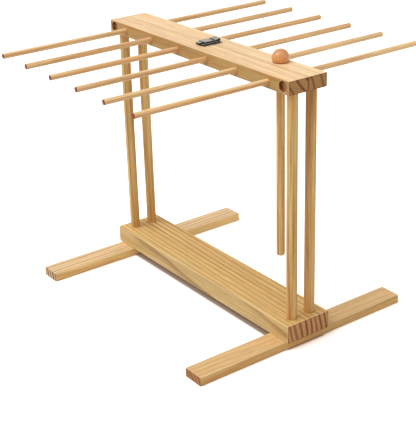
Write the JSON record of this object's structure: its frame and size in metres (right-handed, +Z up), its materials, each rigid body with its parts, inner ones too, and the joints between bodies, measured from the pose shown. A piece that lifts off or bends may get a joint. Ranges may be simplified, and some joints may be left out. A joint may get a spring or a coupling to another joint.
{
  "type": "pasta drying rack",
  "caption": "Collapsible wooden pasta drying rack: a base board on cross feet, posts, a pair of lift-off top rails with side rods, a toggle latch and a ball-headed transfer wand.",
  "frame": {"origin": "on the floor, under the middle of the rack", "axes": "+X along the drying rods, +Y along the rack from the end with the wand to the other end, +Z up"},
  "size_m": [0.3942, 0.36, 0.338],
  "materials": {
    "pine_board": "planed and sanded pine, unfinished",
    "pine_post": "turned pine dowel, sanded",
    "rod_wood": "turned thin dowel, pinkish, sanded",
    "ball_wood": "turned ball, satin",
    "black_steel": "black plated steel, satin"
  },
  "bodies": {
    "stand": {"base_board": "pine_board", "post_near_left": "pine_post", "post_near_right": "pine_post", "post_far_left": "pine_post", "post_far_right": "pine_post"},
    "near_foot": {"foot_near": "pine_board", "foot_pegs_near": "pine_post"},
    "far_foot": {"foot_far": "pine_board", "foot_pegs_far": "pine_post"},
    "left_rail": {"rail_left": "pine_board", "rod_left_1": "rod_wood", "rod_left_2": "rod_wood", "rod_left_3": "rod_wood", "rod_left_4": "rod_wood", "rod_left_5": "rod_wood", "rod_left_6": "rod_wood", "latch_keeper": "black_steel", "latch_keeper_screws": "black_steel"},
    "right_rail": {"rail_right": "pine_board", "rod_right_1": "rod_wood", "rod_right_2": "rod_wood", "rod_right_3": "rod_wood", "rod_right_4": "rod_wood", "rod_right_5": "rod_wood", "rod_right_6": "rod_wood", "latch_base": "black_steel", "latch_base_screws": "black_steel", "lever_pin": "black_steel"},
    "wand": {"wand_stick": "pine_post", "wand_ball": "ball_wood"},
    "lever": {"latch_lever": "black_steel"},
    "bail": {"latch_bail": "black_steel"}
  },
  "joints": [
    {"name": "stand_lift", "type": "slide", "parent": "near_foot", "child": "stand", "axis": [0, 0, 1], "range_m": [0, 0.02]},
    {"name": "far_foot_pull", "type": "slide", "parent": "stand", "child": "far_foot", "axis": [0, 0, -1], "range_m": [0, 0.02]},
    {"name": "left_rail_lift", "type": "slide", "parent": "stand", "child": "left_rail", "axis": [0, 0, 1], "range_m": [0, 0.06]},
    {"name": "right_rail_lift", "type": "slide", "parent": "stand", "child": "right_rail", "axis": [0, 0, 1], "range_m": [0, 0.06]},
    {"name": "wand_lift", "type": "slide", "parent": "right_rail", "child": "wand", "axis": [0, 0, 1], "range_m": [0, 0.24]},
    {"name": "lever_open", "type": "hinge", "parent": "right_rail", "child": "lever", "pos_m": [0.0049, 0, 0.3254], "axis": [0, -1, 0], "range_deg": [0, 80]},
    {"name": "bail_swing", "type": "hinge", "parent": "lever", "child": "bail", "pos_m": [0.0105, 0, 0.32515], "axis": [0, -1, 0], "range_deg": [-64, 0]}
  ],
  "couplings": [
    {"joint": "far_foot_pull", "follows": "stand_lift", "ratio": 1},
    {"joint": "right_rail_lift", "follows": "left_rail_lift", "ratio": 1},
    {"joint": "bail_swing", "follows": "lever_open", "ratio": -0.8}
  ]
}
